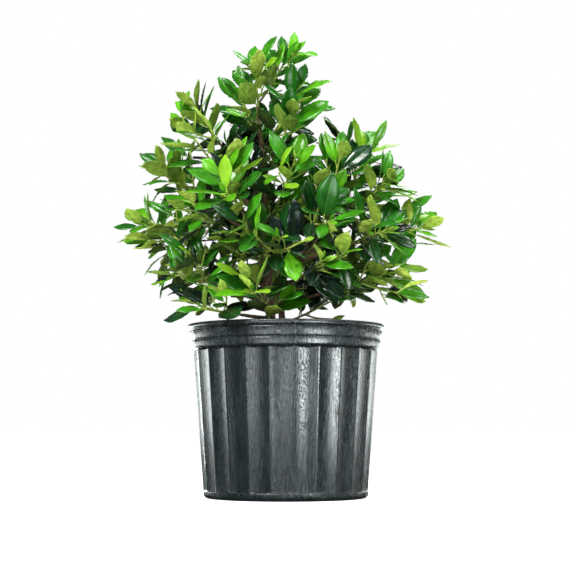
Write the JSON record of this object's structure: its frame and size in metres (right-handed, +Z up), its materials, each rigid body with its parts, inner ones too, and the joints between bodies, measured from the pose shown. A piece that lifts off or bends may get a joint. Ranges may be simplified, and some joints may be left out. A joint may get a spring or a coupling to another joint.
{
  "type": "potted holly",
  "caption": "Young broad-leaved holly shrub: two stems, tapering boughs and sprays of glossy leaves, in a round fluted nursery pot filled with potting soil.",
  "frame": {"origin": "centre of the pot's flat underside", "axes": "+Z up, -Y to the front of the plant as pictured, +X to its right"},
  "size_m": [0.4819, 0.3401, 0.6734],
  "materials": {
    "pot_plastic": "charcoal black moulded plastic with a satin, slightly streaked surface",
    "potting_soil": "dark brown bark and peat mix, rough and matt, with a few white grains",
    "bark": "grey-brown young bark with fine lengthways relief, greener towards the tips",
    "foliage": "glossy mid-green leaves with paler matt undersides, on yellow-green shoots"
  },
  "bodies": {
    "root": {"nursery_pot": "pot_plastic", "potting_soil": "potting_soil", "main_stem": "bark", "right_stem": "bark", "foliage_leader": "foliage", "foliage_crest_left": "foliage", "foliage_crest_low_left": "foliage", "foliage_crest_right": "foliage", "foliage_crest_low_right": "foliage", "foliage_crest_back": "foliage", "foliage_spire_front": "foliage", "bough_left_shoulder_top": "bark", "foliage_left_shoulder_top": "foliage", "foliage_left_shoulder_inner": "foliage", "bough_left_shoulder": "bark", "foliage_left_shoulder": "foliage", "bough_left_upper": "bark", "foliage_left_upper": "foliage", "bough_left_front": "bark", "foliage_left_front": "foliage", "bough_left_middle": "bark", "foliage_left_middle": "foliage", "bough_left_tip": "bark", "foliage_left_tip": "foliage", "bough_left_low": "bark", "foliage_left_low": "foliage", "bough_rim_left": "bark", "foliage_rim_left": "foliage", "foliage_low_front": "foliage", "bough_centre_front": "bark", "foliage_centre_front": "foliage", "foliage_centre_left": "foliage", "bough_centre_right": "bark", "foliage_centre_right": "foliage", "bough_centre_low_right": "bark", "foliage_centre_low_right": "foliage", "foliage_right_inner": "foliage", "foliage_right_shoulder": "foliage", "foliage_right_shoulder_low": "foliage", "bough_far_right": "bark", "foliage_far_right": "foliage", "bough_right_middle": "bark", "foliage_right_middle": "foliage", "bough_right_low": "bark", "foliage_right_low": "foliage", "foliage_low_right": "foliage", "bough_back_low_left": "bark", "foliage_back_low_left": "foliage", "bough_back_low": "bark", "foliage_back_low": "foliage", "bough_back_low_right": "bark", "foliage_back_low_right": "foliage", "bough_back_left": "bark", "foliage_back_left": "foliage", "bough_back_middle": "bark", "foliage_back_middle": "foliage", "foliage_back_right": "foliage", "foliage_back_upper": "foliage"}
  },
  "joints": []
}
